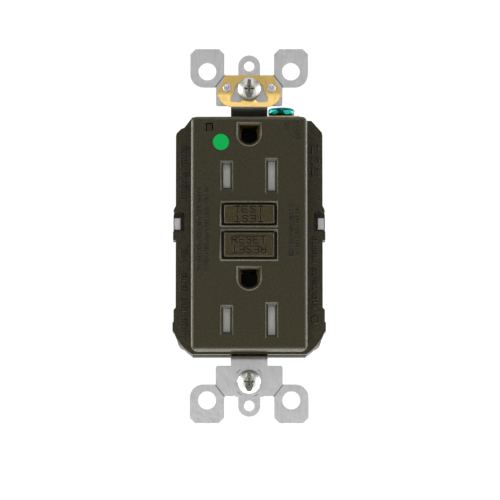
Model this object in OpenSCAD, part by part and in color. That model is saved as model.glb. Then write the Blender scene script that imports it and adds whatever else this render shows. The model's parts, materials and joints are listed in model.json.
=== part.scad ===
// Ground-fault duplex outlet with a metal mounting strap, tamper-resistant shutters
// and back-and-side-wired terminals.
//
// Frame: X to the right, +Z up, the face looks towards -Y. The origin is at the
// centre of the strap, on the rear of its ears, which is the plane the device is
// screwed down on. The ears fill y from -strap_t to 0.

/* [Strap] */
// Overall length of the strap
strap_l = 106.7; // [105:0.1:108]
// Overall width across the ears
strap_w = 33.5; // [32:0.1:34]
// Thickness of the strap
strap_t = 1.2; // [1:0.05:1.4]
// Centre-to-centre distance of the wall-plate screw holes
plate_pitch = 96.84; // [96.5:0.02:97.2]
// Centre-to-centre distance of the box screws
box_pitch = 83.32; // [83:0.02:83.6]
// Radius of the large relief holes in the ears
ear_hole_r = 2.55; // [2.3:0.05:2.7]
// Half distance of the ear holes across the strap
ear_hole_x = 11.9; // [11.5:0.1:12.2]
// Half distance of the ear holes along the strap
ear_hole_z = 46.9; // [46.5:0.1:47.2]
// Half width of the neck between an ear and the housing
neck_x = 5.2; // [4.8:0.1:5.6]

/* [Housing] */
// Width of the raised face
face_w = 32.9; // [32.5:0.1:33.2]
// Height of the raised face
face_h = 66.4; // [66:0.1:66.6]
// Front of the raised face
face_y = -7.6; // [-8.2:0.1:-7]
// Front of the flange around the face
flange_y = -0.6; // [-1:0.1:-0.4]
// Parting plane between the two covers
seam_y = 4.4; // [4.2:0.1:4.6]
// Rear of the housing
rear_y = 26; // [25:0.5:28]
// Half width of the flange
flange_x = 20.85; // [20.5:0.05:21]
// Half width of the wider lower end
wide_x = 21.45; // [21.2:0.05:21.6]
// Half height of the flange
flange_z = 33.8; // [33.4:0.1:34]
// Wall thickness of both covers
wall = 1.6; // [1.4:0.1:1.8]

/* [Receptacles] */
// Height of the upper receptacle's blade slots
upper_slot_z = 16.3; // [16.2:0.1:16.4]
// Height of the lower receptacle's blade slots
lower_slot_z = -24.6; // [-24.7:0.1:-24.5]
// Distance from the blade slots up to the ground hole
ground_up = 11.9; // [11.8:0.05:12]
// Distance of each slot from the middle
slot_x = 6.33; // [6.3:0.01:6.4]
// Width of a blade slot
slot_w = 1.95; // [1.8:0.05:2.1]
// Height of the hot slot
hot_h = 6.7; // [6.5:0.1:7]
// Height of the neutral slot
neutral_h = 8.3; // [8:0.1:8.6]
// Radius of the round end of the ground hole
ground_r = 2.7; // [2.5:0.05:2.8]

/* [Buttons] */
// Width of both buttons
button_w = 14.2; // [14:0.1:14.4]
// Height of the test button
test_h = 5.3; // [5:0.1:5.5]
// Centre of the test button
test_z = 5.35; // [5.2:0.05:5.5]
// Height of the reset button
reset_h = 6.9; // [6.6:0.1:7]
// Centre of the reset button
reset_z = -3.3; // [-3.4:0.05:-3.2]
// Front of both buttons
button_y = -8.2; // [-8.6:0.1:-8]

/* [Screws] */
// Radius of the box screws, 6-32
box_screw_r = 1.75; // [1.7:0.01:1.76]
// Radius of the box screw heads
box_head_r = 3.36; // [3.2:0.02:3.5]
// Length of the box screws behind the ears
box_screw_l = 17; // [15:0.5:20]
// Radius of the terminal screws, 8-32
term_r = 2.07; // [2:0.01:2.08]
// Radius of the terminal screw heads
term_head_r = 3.3; // [3:0.1:3.4]
// Height of the terminal screws above and below the middle
term_z = 18; // [17.8:0.1:18.2]
// Depth of the terminal screw axes
term_y = 14; // [13.9:0.1:14.1]

/* [Hidden] */
$fn = 48;
gap = 0.05;
big = 60;
slot_z = [upper_slot_z, lower_slot_z];
face_in_y = face_y + 2;
flange_in_y = flange_y + 1.6;
mid_y = [3.4, 4.6];
frame_plate_y = [8.6, 10.2];
board_y = [21.2, 22.8];
rear_step_y = 12;
seam_lip = [16.1, 0.35];
rear_z = 31;
cavity_x = flange_x - wall;
cavity_z = flange_z - wall;
ground_z = [slot_z[0] + ground_up, slot_z[1] + ground_up];
led_pos = [-11.25, 30.1];
led_size = [2.05, 2.35];
led_groove = 0.3;
dot_pos = [-8.0, 25.85];
dot_r = 2.27;
boss_pos = [16.4, 26.6];
catch_z = [-1.2, 8.8];
notch_x = 19.45;
notch_z = [1.2, 7.0];
wing_z = [1.9, 5.1];
spring_post = [-5.9, 6.9];
test_stem = [5.8, 6.9];
core_z = 17;
coil_y = 15.6;
coil_z = [-23.5, -11.5];
arm_x = 9;
arm_hinge = [13.65, 8];
contact_z = -2.5;
pocket_x = 14.2;
pocket_z = [13.2, 22.8];
clip_t = 0.8;
contact_rivet_x = 4.1;
ground_screw_pos = [9.3, 4.9];
tab_z = flange_z + 0.06;
shutter_travel = 2.6;
shutter_y = [face_in_y + 0.15, face_in_y + 1.9];
shutter_x = [-10.6, 9.0];
screw_rest_y = -strap_t - clip_t;
thread_y = 5;

brown = [0.235, 0.218, 0.165];
button_brown = [0.29, 0.245, 0.18];
steel = [0.68, 0.69, 0.7];
brass = [0.8, 0.62, 0.28];
zinc = [0.86, 0.87, 0.88];
copper = [0.72, 0.42, 0.24];
pale = [0.62, 0.64, 0.62];
black = [0.06, 0.06, 0.06];

// ---- shared shapes ------------------------------------------------------

// A drawing in X and Z, filled from depth y0 to depth y1
module plate(y0, y1)
    translate([0, y1, 0]) rotate([90, 0, 0]) linear_extrude(y1 - y0) children();

// A drawing in Y and Z, filled from x0 to x1
module along_x(x0, x1)
    translate([x0, 0, 0]) rotate([90, 0, 90]) linear_extrude(x1 - x0) children();

// A drawing in X and Y, filled from z0 to z1
module along_z(z0, z1)
    translate([0, 0, z0]) linear_extrude(z1 - z0) children();

module rod_y(r, y0, y1, x = 0, z = 0)
    translate([x, y1, z]) rotate([90, 0, 0]) cylinder(r = r, h = y1 - y0);

module rod_x(r, x0, x1, y = 0, z = 0)
    translate([x0, y, z]) rotate([0, 90, 0]) cylinder(r = r, h = x1 - x0);

module rod_z(r, z0, z1, x = 0, y = 0)
    translate([x, y, z0]) cylinder(r = r, h = z1 - z0);

module tube_y(r_out, r_in, y0, y1, x = 0, z = 0)
    difference() {
        rod_y(r_out, y0, y1, x, z);
        rod_y(r_in, y0 - 1, y1 + 1, x, z);
    }

module tube_z(r_out, r_in, z0, z1, x = 0, y = 0)
    difference() {
        rod_z(r_out, z0, z1, x, y);
        rod_z(r_in, z0 - 1, z1 + 1, x, y);
    }

// A box from its low corner to its high corner
module block(low, high)
    translate(low) cube(high - low);

module round_rect(w, h, r) {
    square([w - 2 * r, h], center = true);
    square([w, h - 2 * r], center = true);
    for (sx = [-1, 1], sz = [-1, 1])
        translate([sx * (w / 2 - r), sz * (h / 2 - r)]) circle(r);
}

// A slot with round ends, along X
module stadium(half_len, r) {
    square([2 * (half_len - r), 2 * r], center = true);
    for (s = [-1, 1])
        translate([s * (half_len - r), 0]) circle(r);
}

module both_sides()
    for (s = [0, 1])
        mirror([s, 0, 0]) children();

module both_ends()
    for (s = [0, 1])
        mirror([0, 0, s]) children();

// A block w wide and h high whose front edges are rounded
module soft_block(w, h, corner_r, edge_r, y0, y1)
    intersection() {
        plate(y0, y1) round_rect(w, h, corner_r);
        along_z(-h, h) front_rounded(w, edge_r, y0, y1);
        along_x(-w, w) mirror([1, -1]) front_rounded(h, edge_r, y0, y1);
    }

// The plan of such a block: w across and y0 to y1 deep, rounded at y0
module front_rounded(w, r, y0, y1) {
    translate([-w / 2, y0 + r]) square([w, y1 - y0 - r]);
    translate([r - w / 2, y0]) square([w - 2 * r, y1 - y0]);
    for (s = [-1, 1])
        translate([s * (w / 2 - r), y0 + r]) circle(r);
}

// A pyramid-shaped mouth, outer size at y0 and inner size at y1
module mouth(outer, inner, y0, y1)
    intersection() {
        along_z(-big, big) polygon([[-outer[0] / 2, y0], [outer[0] / 2, y0],
            [inner[0] / 2, y1], [-inner[0] / 2, y1]]);
        along_x(-big, big) polygon([[y0, -outer[1] / 2], [y0, outer[1] / 2],
            [y1, inner[1] / 2], [y1, -inner[1] / 2]]);
    }

// Points of a shallow arc from p to q that bulges s to the left of the way
function bow(p, q, s, n) = let (d = q - p, c = norm(d), r = c * c / (8 * s) + s / 2,
    m = (p + q) / 2, u = [-d[1], d[0]] / c, o = m - u * (r - s), a = asin(c / (2 * r)))
    [for (i = [0 : n]) let (t = a * (2 * i / n - 1)) o + r * (cos(t) * u + sin(t) * d / c)];

// ---- housing ------------------------------------------------------------

// The outline shared by the flange and the rear cover, shrunk inwards by s
module flange_outline(s = 0) {
    corner = bow([wide_x - s, -27.2 + s / 2], [16.2 - s / 2, -flange_z + s], 0.7, 6);
    right = concat([[15.4 - s / 2, 32.8 - s], [17.7 - s / 2, 32.8 - s],
        [20.65 - s, 29.5 - s / 2], [flange_x - s, 28.6 - s / 2], [flange_x - s, -20.5 - s / 2],
        [wide_x - s, -21.2 - s / 2]], [for (p = corner) p]);
    left = concat([for (i = [len(corner) - 1 : -1 : 0]) [-corner[i][0], corner[i][1]]],
        [[s - wide_x, -21.2 - s / 2], [s - flange_x, -20.5 - s / 2],
        [s - flange_x, 28.5 - s / 2], [s - 20.6, 29.3 - s / 2], [s / 2 - 19.35, 30.5 - s],
        [s / 2 - 18.5, 30.8 - s], [s / 2 - 16.2, flange_z - s]]);
    polygon(concat([[14.5 - s / 2, flange_z - s]], right, left));
}

// A blade slot through the face, with its bevelled mouth
module blade_slot(h) {
    translate([0, face_y, 0]) mouth([slot_w + 2.1, h + 2.2], [slot_w, h], -0.2, 0.85);
    block([-slot_w / 2, face_y, -h / 2], [slot_w / 2, face_in_y + 1, h / 2]);
}

// A ground hole: round below, flat on top, with a bevelled mouth
module ground_hole() {
    top = 2.5;
    flare = 0.8;
    rod_y(ground_r, face_y - 1, face_in_y + 1);
    block([-ground_r, face_y - 1, 0], [ground_r, face_in_y + 1, top]);
    translate([0, face_y - 0.01, 0]) rotate([-90, 0, 0])
        cylinder(r1 = ground_r + flare, r2 = ground_r, h = 0.85);
    intersection() {
        translate([0, face_y, 0])
            mouth([2 * (ground_r + flare), 2 * (top + flare)], [2 * ground_r, 2 * top], 0, 0.85);
        block([-big, -big, 0], [big, big, big]);
    }
}

// The frame of a button opening, cut with its bevelled rim
module button_opening(z, h_up, h_down, w) {
    rim = 0.55;
    translate([0, face_y, z + (h_up - h_down) / 2])
        mouth([w + 2 * rim, h_up + h_down + 2 * rim], [w, h_up + h_down], 0, rim);
    block([-w / 2, face_y - 1, z - h_down], [w / 2, face_in_y + 1, z + h_up]);
}

// The moulded guide behind the face that both buttons slide in
module button_guide()
    color([0.75, 0.73, 0.66]) difference() {
        block([-9.3, face_in_y + gap, -8.4], [9.3, -1.2, 9.9]);
        block([-8.3, face_in_y - 1, 1.8], [8.3, 0, 8.9]);
        block([-8.3, face_in_y - 1, -7.5], [8.3, 0, 0.6]);
    }

// The latch of the two covers on the side +X, which stands proud of the flange
module catch_outline()
    polygon([[20, catch_z[0]], [21.65, catch_z[0]], [21.65, 6.4], [21.45, 7.4], [21.15, 8.1],
        [flange_x - 0.1, catch_z[1]], [20, catch_z[1]]]);

module front_cover() {
    slit_x = [18.4, 19.3];
    color(brown) difference() {
        union() {
            difference() {
                union() {
                    plate(flange_y, seam_y) flange_outline();
                    soft_block(face_w, face_h, 1.9, 1.1, face_y, flange_y + 1);
                    both_sides() plate(0.4, seam_y) catch_outline();
                    both_sides() block([20.8, 0.2, -27.2], [21.75, seam_y, -24.6]);
                }
                plate(flange_in_y, seam_y + 1) flange_outline(wall);
                plate(face_in_y, flange_in_y + 1)
                    round_rect(face_w - 2 * wall, face_h - 2 * wall, 1);
            }
            both_sides() both_ends()
                rod_y(2.4, flange_in_y - 0.5, frame_plate_y[0] - 0.1, boss_pos[0], boss_pos[1]);
        }
        button_opening(test_z, 3.1, 3.1, button_w + 1);
        button_opening(reset_z, 3.7, 4, button_w + 1.3);
        for (i = [0, 1]) {
            translate([-slot_x, 0, slot_z[i]]) blade_slot(hot_h);
            translate([slot_x, 0, slot_z[i]]) blade_slot(neutral_h);
            translate([0, 0, ground_z[i]]) ground_hole();
        }
        rod_y(dot_r + 0.04, face_y - 1, face_y + 0.4, dot_pos[0], dot_pos[1]);
        block([led_pos[0] - led_size[0] / 2, face_y - 1, led_pos[1] - led_size[1] / 2],
            [led_pos[0] + led_size[0] / 2, face_in_y + 1, led_pos[1] + led_size[1] / 2]);
        both_sides() block([notch_x, flange_y - 1, notch_z[0]], [23, seam_y + 1, notch_z[1]]);
        both_sides() block([notch_x - 1, flange_in_y, notch_z[0]], [23, seam_y + 1, notch_z[1]]);
        both_sides() block([slit_x[0], flange_y - 1, notch_z[0]], [slit_x[1], flange_y + 1.2, 6.4]);
        both_ends() block([-neck_x - 0.15, mid_y[0] - 0.12, 31], [neck_x + 0.15, seam_y + 1, 36]);
        ground_screw_hole();
        // pilot holes of the four assembly screws
        both_sides() both_ends()
            rod_y(1.25, 2, frame_plate_y[0] + 1, boss_pos[0], boss_pos[1]);
    }
}

// The hole in the top wall for the tip of the ground screw
module ground_screw_hole()
    rod_z(term_r + 0.3, 29, 36, ground_screw_pos[0], ground_screw_pos[1]);

// A terminal pocket in the rear cover, drawn for the side +X and the end +Z
module pocket_solid()
    block([pocket_x - 1.4, frame_plate_y[1] + 0.1, pocket_z[0] - 1.4],
        [flange_x - 0.4, rear_y - 1, pocket_z[1] + 1.4]);

module pocket_space() {
    floor_y = 17.8;
    wire_r = 1.35;
    block([pocket_x, frame_plate_y[1] - 1, pocket_z[0]], [23, floor_y, pocket_z[1]]);
    block([pocket_x - 2, frame_plate_y[1] - 1, 15], [pocket_x + 1, 11.3, 21]);
    rod_x(term_r + 0.3, pocket_x - 2, pocket_x + 1, term_y, term_z);
    for (s = [-1, 1]) {
        rod_y(wire_r, floor_y - 1, rear_y + 1, 16.9, term_z + s * 3.3);
        translate([16.9, rear_y + 0.01, term_z + s * 3.3]) rotate([90, 0, 0])
            cylinder(r1 = wire_r + 0.6, r2 = wire_r, h = 1.2);
    }
}

module rear_cover() {
    color(black) difference() {
        union() {
            difference() {
                union() {
                    plate(seam_y + gap, rear_step_y) flange_outline();
                    plate(rear_step_y - 0.5, rear_y)
                        round_rect(2 * (flange_x - 0.15), 2 * rear_z, 2.5);
                    both_sides() plate(seam_y + gap, 7.5) catch_outline();
                    block([-seam_lip[0], seam_y + gap, -flange_z - seam_lip[1]],
                        [seam_lip[0], 10.5, -flange_z + wall]);
                    both_sides() block([20.8, seam_y + gap, -27.2], [21.75, 9, -24.6]);
                }
                plate(seam_y - 1, rear_step_y - wall) flange_outline(wall);
                plate(frame_plate_y[0], rear_y - wall)
                    round_rect(2 * cavity_x, 2 * (rear_z - wall), 1.5);
            }
            both_sides() both_ends() pocket_solid();
            both_sides() both_ends()
                rod_y(2.9, frame_plate_y[1] + 0.1, rear_y - 1, boss_pos[0], boss_pos[1]);
        }
        both_sides() both_ends() pocket_space();
        ground_screw_hole();
        both_sides() block([notch_x - 1.2, seam_y - 1, notch_z[0]], [23, 6.4, notch_z[1]]);
        both_ends() block([-neck_x - 0.15, seam_y - 1, 31], [neck_x + 0.15, mid_y[1] + 0.12, 36]);
        both_sides() both_ends() {
            rod_y(1.45, frame_plate_y[1] - 1, rear_y + 1, boss_pos[0], boss_pos[1]);
            rod_y(2.4, rear_y - 2.6, rear_y + 1, boss_pos[0], boss_pos[1]);
            // the groove that shows how far to strip a wire, and the wire release
            block([13.2, rear_y - 0.5, 11.6], [13.8, rear_y + 1, 23.2]);
            block([16.1, rear_y - 0.8, 17.6], [17.7, rear_y + 1, 18.4]);
        }
        // the shallow panel between the wire entries
        block([-10.5, rear_y - 0.4, -24], [10.5, rear_y + 1, 24]);
    }
}

module middle_frame() {
    half = [19, 30.5];
    color(black) difference() {
        union() {
            plate(frame_plate_y[0], frame_plate_y[1])
                polygon([[-half[0], 26], [-15.5, half[1]], [15.5, half[1]], [half[0], 26],
                    [half[0], -26], [15.5, -half[1]], [-15.5, -half[1]], [-half[0], -26]]);
            rod_y(1.6, 1.6, frame_plate_y[0] + 0.5, spring_post[0], spring_post[1]);
            // ribs that hold the contacts apart
            both_sides() for (z = [[11, 12], [-14, -13], [-30, -29]])
                block([5.2, 6.4, z[0]], [11, frame_plate_y[0] + 0.5, z[1]]);
        }
        both_sides() both_ends()
            rod_y(1.45, frame_plate_y[0] - 1, frame_plate_y[1] + 1, boss_pos[0], boss_pos[1]);
        // the reset pin's bore
        rod_y(1.3, frame_plate_y[0] - 1, frame_plate_y[1] + 1, 0, reset_z);
        // windows for the fixed contacts and the load terminals
        both_sides() block([7.4, 8, contact_z - 1.9], [10.6, 11, contact_z + 1.9]);
        both_sides() block([14.1, 8, -20], [15.7, 11, -16]);
        // clearance under each blade and ground pin
        both_sides() for (z = slot_z)
            block([slot_x - 1.1, 8, z - 4.2], [slot_x + 1.1, 9.6, z + 4.2]);
        for (z = ground_z)
            rod_y(3.1, 8, 9.6, 0, z);
    }
}

// ---- strap and grounding ------------------------------------------------

// One outer ear, on the side +X and the end +Z
module ear_outline() {
    in_x = 7.1;
    out_x = strap_w / 2;
    end_z = strap_l / 2;
    base_z = 42.4;
    cut = 1.5;
    r = 3.7;
    polygon([[in_x, base_z], [out_x - r, base_z], [out_x - r, base_z + r], [out_x, base_z + r],
        [out_x, end_z - cut], [out_x - cut, end_z], [in_x + cut, end_z], [in_x, end_z - cut]]);
    translate([out_x - r, base_z + r]) circle(r);
}

module end_plate_outline() {
    plate_x = 9.45;
    tab_x = 3.1;
    difference() {
        union() {
            translate([0, 41.4]) round_rect(2 * plate_x, 8.6, 0.6);
            for (s = [0, 1]) mirror([s, 0]) ear_outline();
            translate([-tab_x, 44]) square([2 * tab_x, plate_pitch / 2 - 44]);
            translate([0, plate_pitch / 2]) circle(tab_x);
        }
        translate([0, plate_pitch / 2]) circle(1.5);
        translate([0, box_pitch / 2]) stadium(2.6, 1.95);
        for (s = [-1, 1])
            translate([s * ear_hole_x, ear_hole_z]) circle(ear_hole_r);
    }
}

// The shallow line along which an outer ear snaps off
module score_line() {
    depth = 0.25;
    translate([8.25, -strap_t, 44.2]) rotate([0, 52, 0])
        cube([4.6, 2 * depth, 0.28], center = true);
}

// The top end bends back into the housing in one long curve: its depth at height z
function bend_t(z) = max(0, min(1, (36.9 - z) / 3));
function bend_y(z) = let (t = bend_t(z)) -strap_t / 2
    + (mid_y[0] + strap_t) * t * t * (3 - 2 * t);
function bend_dir(z) = let (e = 0.05, d = [bend_y(z + e) - bend_y(z - e), 2 * e]) d / norm(d);

module curved_neck() {
    steps = [for (i = [0 : 14]) 37.3 - i * 3.6 / 14];
    front = [for (z = steps) [bend_y(z), z] + strap_t / 2 * [-bend_dir(z)[1], bend_dir(z)[0]]];
    back = [for (i = [len(steps) - 1 : -1 : 0]) let (z = steps[i])
        [bend_y(z), z] - strap_t / 2 * [-bend_dir(z)[1], bend_dir(z)[0]]];
    along_x(-neck_x, neck_x) polygon(concat(front, back));
}

// A quarter of a sharp bend's side view, around centre c, from angle a on
function bend_arc(c, r, a, way) = [for (i = [0 : 6]) let (t = a + way * i * 15)
    c + r * [cos(t), sin(t)]];

// The bottom end steps back close to the housing, drawn here for the end +Z
module stepped_neck() {
    web_z = flange_z + 0.2;
    in_r = 0.3;
    out_r = in_r + strap_t;
    front_c = [in_r, web_z + out_r];
    back_c = [mid_y[0] - in_r, web_z - in_r];
    along_x(-neck_x, neck_x) polygon(concat([[-strap_t, 37.3]], bend_arc(front_c, out_r, 180, 1),
        bend_arc(back_c, in_r, 90, -1), [[mid_y[0], 33], [mid_y[1], 33]],
        bend_arc(back_c, out_r, 0, 1), bend_arc(front_c, in_r, 270, -1), [[0, 37.3]]));
}

module mounting_strap() {
    boss_r = 5.3;
    lip_x = [19.6, 21.3];
    color(steel) difference() {
        union() {
            both_ends() plate(-strap_t, 0) end_plate_outline();
            curved_neck();
            mirror([0, 0, 1]) stepped_neck();
            plate(mid_y[0], mid_y[1]) {
                square([8, 67.6], center = true);
                for (z = ground_z) translate([0, z]) circle(boss_r);
                translate([0, reset_z]) circle(4.6);
                translate([-lip_x[1], wing_z[0]])
                    square([2 * lip_x[1], wing_z[1] - wing_z[0]]);
                for (s = [-1, 1]) translate([-neck_x, s * 32 - 2]) square([2 * neck_x, 4]);
            }
            both_sides() block([lip_x[0], 1.6, wing_z[0]], [lip_x[1], mid_y[1], wing_z[1]]);
        }
        both_ends() both_sides() score_line();
        for (z = ground_z) rod_y(3.1, 2, 6, 0, z);
        rod_y(2.2, 2, 6, 0, reset_z);
        for (z = ground_z, s = [-1, 1]) rod_y(0.62, 2, 6, s * contact_rivet_x, z);
    }
}

// The bell-shaped windows of the spring clip, to the right of its screw
module clip_window() {
    polygon([[1.9, 43.3], [3.2, 43.5], [4.0, 42.6], [4.2, 41.2], [5.3, 39.4], [5.4, 38.4],
        [4.9, 37.9], [2.6, 37.9], [1.9, 38.4]]);
}

module ground_clip() {
    y1 = -strap_t - gap / 5;
    y0 = y1 - clip_t;
    half = [[6.95, 45.7], [7.6, 43.6], [8.85, 41.9], [8.85, 39.8], [8.2, 38.4], [7.1, 37.2],
        [5.6, 36.6]];
    color(brass) difference() {
        plate(y0, y1) polygon(concat(half, [for (i = [len(half) - 1 : -1 : 0])
            [-half[i][0], half[i][1]]]));
        plate(y0 - 1, y1 + 1) {
            for (s = [0, 1]) mirror([s, 0]) clip_window();
            translate([0, box_pitch / 2]) circle(2.05);
        }
        both_sides() rod_y(0.72, y0 - 1, y1 + 1, 6.3, 42);
    }
}

// A ground contact: a plate on the strap with two leaves that grip the pin
module ground_contact(z) {
    y1 = mid_y[0] - gap / 5;
    leaf_t = 0.45;
    grip = 2.3;
    tip_y = -2.2;
    color(brass) translate([0, 0, z]) difference() {
        union() {
            plate(y1 - leaf_t, y1) round_rect(10.2, 7.2, 1.2);
            both_ends() {
                block([-1.9, tip_y, grip], [1.9, y1, grip + leaf_t]);
                along_x(-1.9, 1.9) polygon([[tip_y, grip], [tip_y - 0.9, grip + 0.5],
                    [tip_y - 0.9, grip + 0.95], [tip_y, grip + leaf_t]]);
            }
        }
        block([-grip, y1 - 2, -grip], [grip, y1 + 1, grip]);
        for (s = [-1, 1]) rod_y(0.62, y1 - 2, y1 + 1, s * contact_rivet_x);
    }
}

module ground_contact_upper() ground_contact(ground_z[0]);

module ground_contact_lower() ground_contact(ground_z[1]);

// Two rivets hold the spring clip, and two more hold each ground contact
module rivets() {
    clip_rivet = [6.3, 42];
    color(steel) both_sides() {
        rod_y(1.2, screw_rest_y - 0.5, screw_rest_y - 0.015, clip_rivet[0], clip_rivet[1]);
        rod_y(0.7, screw_rest_y - 0.2, -strap_t - 0.02, clip_rivet[0], clip_rivet[1]);
        for (z = ground_z) {
            rod_y(0.6, mid_y[0] - 0.6, mid_y[1] + 0.3, contact_rivet_x, z);
            rod_y(1.0, mid_y[0] - 0.9, mid_y[0] - 0.47, contact_rivet_x, z);
            rod_y(1.0, mid_y[1] + 0.02, mid_y[1] + 0.35, contact_rivet_x, z);
        }
    }
}

// The brass tab that carries the green ground screw, outside the housing's top wall
module ground_terminal_tab()
    color(brass) difference() {
        block([neck_x + 0.15, 0.6, tab_z], [14.4, 9.2, tab_z + 0.55]);
        rod_z(term_r + gap, tab_z - 1, tab_z + 2, ground_screw_pos[0], ground_screw_pos[1]);
    }

module ground_screw() {
    head_r = 3.95;
    head_z = tab_z + 0.75;
    color([0.05, 0.5, 0.38])
        translate([ground_screw_pos[0], ground_screw_pos[1], 0]) difference() {
            union() {
                rod_z(term_r, 30.2, head_z + 0.5);
                translate([0, 0, head_z]) cylinder(r1 = head_r - 0.9, r2 = head_r, h = 0.4);
                rod_z(head_r, head_z + 0.4, head_z + 2.1);
                translate([0, 0, head_z + 2.1]) cylinder(r1 = head_r, r2 = head_r - 0.4, h = 0.35);
            }
            block([-5, -0.5, head_z + 1.4], [5, 0.5, head_z + 3]);
        }
}

module ground_screw_washer()
    color(brass) translate([ground_screw_pos[0], ground_screw_pos[1], 0])
        tube_z(2.9, term_r + gap, tab_z + 0.57, tab_z + 0.73);

// ---- indicator ----------------------------------------------------------

module grade_dot()
    color([0, 0.65, 0.32]) rod_y(dot_r, face_y - 0.06, face_y + 0.39, dot_pos[0], dot_pos[1]);

module light_pipe()
    color(brown)
        block([led_pos[0] - led_size[0] / 2 + led_groove, face_y + 0.1, led_pos[1] - led_size[1] / 2],
            [led_pos[0] + led_size[0] / 2 - led_groove, -3.5,
                led_pos[1] + led_size[1] / 2 - led_groove]);

module indicator_led()
    color([0.85, 0.9, 0.85]) {
        rod_y(0.95, -3.4, -0.6, led_pos[0], led_pos[1] - 0.6);
        rod_y(1.2, -0.7, -0.1, led_pos[0], led_pos[1] - 0.6);
        for (s = [-1, 1])
            rod_y(0.2, -0.2, 2.2, led_pos[0] + s * 0.6, led_pos[1] - 0.6);
    }

// ---- line and load metalwork --------------------------------------------

// The threaded plate of a terminal, on the side +X
module terminal_plate(z)
    difference() {
        block([pocket_x + 0.2, 10.5, z - 4.3], [pocket_x + 1.2, 17.5, z + 4.3]);
        rod_x(term_r + gap, pocket_x - 1, pocket_x + 3, term_y, z);
    }

// Contacts of one pole: two pairs of leaves, their bus strip, the fixed contact
// and the load terminal, on the side +X
module pole_contact() {
    t = 0.5;
    grip = 0.95;
    leaf_y = [-1.4, 6];
    bus_x = slot_x + grip + t;
    for (z = slot_z) {
        block([slot_x - grip - t, leaf_y[0], z - 2.6], [slot_x - grip, leaf_y[1], z + 2.6]);
        block([slot_x + grip, leaf_y[0], z - 2.6], [bus_x, leaf_y[1], z + 2.6]);
        block([slot_x - grip - t, 2.5, z + 2.6], [bus_x, leaf_y[1], z + 3.1]);
    }
    // the bus steps back where the strap's side wings pass in front of it
    block([bus_x - 0.01, 3, slot_z[1] - 2.6], [bus_x + t, leaf_y[1], wing_z[0] - 0.7]);
    block([bus_x - 0.01, 3, wing_z[1] + 0.7], [bus_x + t, leaf_y[1], slot_z[0] + 3.1]);
    block([bus_x - 0.01, mid_y[1] + 0.5, wing_z[0] - 1], [bus_x + t, leaf_y[1], wing_z[1] + 1]);
    // the fixed contact that hangs through the middle frame
    block([bus_x, leaf_y[1] - 1, contact_z - 1.4], [bus_x + t, 11.1, contact_z + 1.4]);
    block([bus_x, 10.7, contact_z - 1.4], [arm_x + 1.2, 11.2, contact_z + 1.4]);
    rod_y(1.2, 11.1, 11.7, arm_x, contact_z);
    // the arm out to the load terminal
    block([bus_x, leaf_y[1] - t, -19.5], [pocket_x + 0.8, leaf_y[1], -16.5]);
    block([pocket_x + 0.2, leaf_y[1] - t, -19.5], [pocket_x + 0.8, 11, -16.5]);
    terminal_plate(-term_z);
}

module hot_contact() color(brass) mirror([1, 0, 0]) pole_contact();

module neutral_contact() color(zinc) pole_contact();

module line_terminals()
    color(brass) both_sides() {
        terminal_plate(term_z);
        block([pocket_x - 1.2, 10.45, core_z - 0.8], [pocket_x + 0.7, 11.05, core_z + 0.8]);
    }

// The line conductors: in at the front, once through both cores, and back up to the arms
module line_conductors() {
    t = 0.6;
    in_x = [1.2, 2.4];
    zc = [core_z - 0.6, core_z + 0.6];
    back_y = [20.2, 20.8];
    color(copper) both_sides() {
        block([in_x[0], 10.45, zc[0]], [pocket_x - 1.25, 10.45 + t, zc[1]]);
        block([in_x[0], 10.45, zc[0]], [in_x[1], back_y[1], zc[1]]);
        block([in_x[0], back_y[0], 7.7], [in_x[1], back_y[1], zc[1]]);
        block([in_x[0], back_y[0], 7.7], [arm_x + 0.8, back_y[1], 8.9]);
        block([arm_x - 0.8, 13.4, 8.5], [arm_x + 0.8, back_y[1], 8.9]);
    }
}

// ---- shutters -----------------------------------------------------------

// A shutter at rest stands one travel to the left of where its windows meet the slots
module shutter(z)
    color(pale) difference() {
        block([shutter_x[0], shutter_y[0], z - 5.1], [shutter_x[1], shutter_y[1], z + 5.1]);
        block([-slot_x - shutter_travel - 1.1, -9, z - 3.8],
            [-slot_x - shutter_travel + 1.1, 0, z + 3.8]);
        block([slot_x - shutter_travel - 1.1, -9, z - 4.4],
            [slot_x - shutter_travel + 1.1, 0, z + 4.4]);
        // ramps that a pair of blades pushes sideways
        for (x = [-slot_x, slot_x])
            along_z(z - 3, z + 3) polygon([[x - 1.5, shutter_y[1] + 1],
                [x - 1.5, shutter_y[1] - 0.7], [x + 1.2, shutter_y[1] + 0.01],
                [x + 1.2, shutter_y[1] + 1]]);
    }

module shutter_upper() shutter(slot_z[0]);

module shutter_lower() shutter(slot_z[1]);

module shutter_spring(z) {
    y = (shutter_y[0] + shutter_y[1]) / 2;
    color(zinc) difference() {
        rod_x(0.8, shutter_x[1] + 0.02, 12, y, z);
        rod_x(0.5, shutter_x[1] - 1, 13, y, z);
    }
}

module shutter_spring_upper() shutter_spring(slot_z[0]);

module shutter_spring_lower() shutter_spring(slot_z[1]);

// Trays that hold the shutters against the face from behind
module shutter_retainers() {
    floor_y = shutter_y[1] + 0.15;
    rail_z = [5.3, 6.2];
    color([0.82, 0.82, 0.78]) for (z = slot_z)
        difference() {
            union() {
                block([-13, floor_y, z - rail_z[1]], [13, floor_y + 0.8, z + rail_z[1]]);
                for (s = [-1, 1])
                    block([-13, face_in_y + gap, z + s * (rail_z[0] + rail_z[1]) / 2 - 0.45],
                        [13, floor_y + 0.1, z + s * (rail_z[0] + rail_z[1]) / 2 + 0.45]);
            }
            for (x = [-slot_x, slot_x])
                block([x - 1.3, -9, z - 4.4], [x + 1.3, 0, z + 4.4]);
        }
}

// ---- buttons ------------------------------------------------------------

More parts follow.
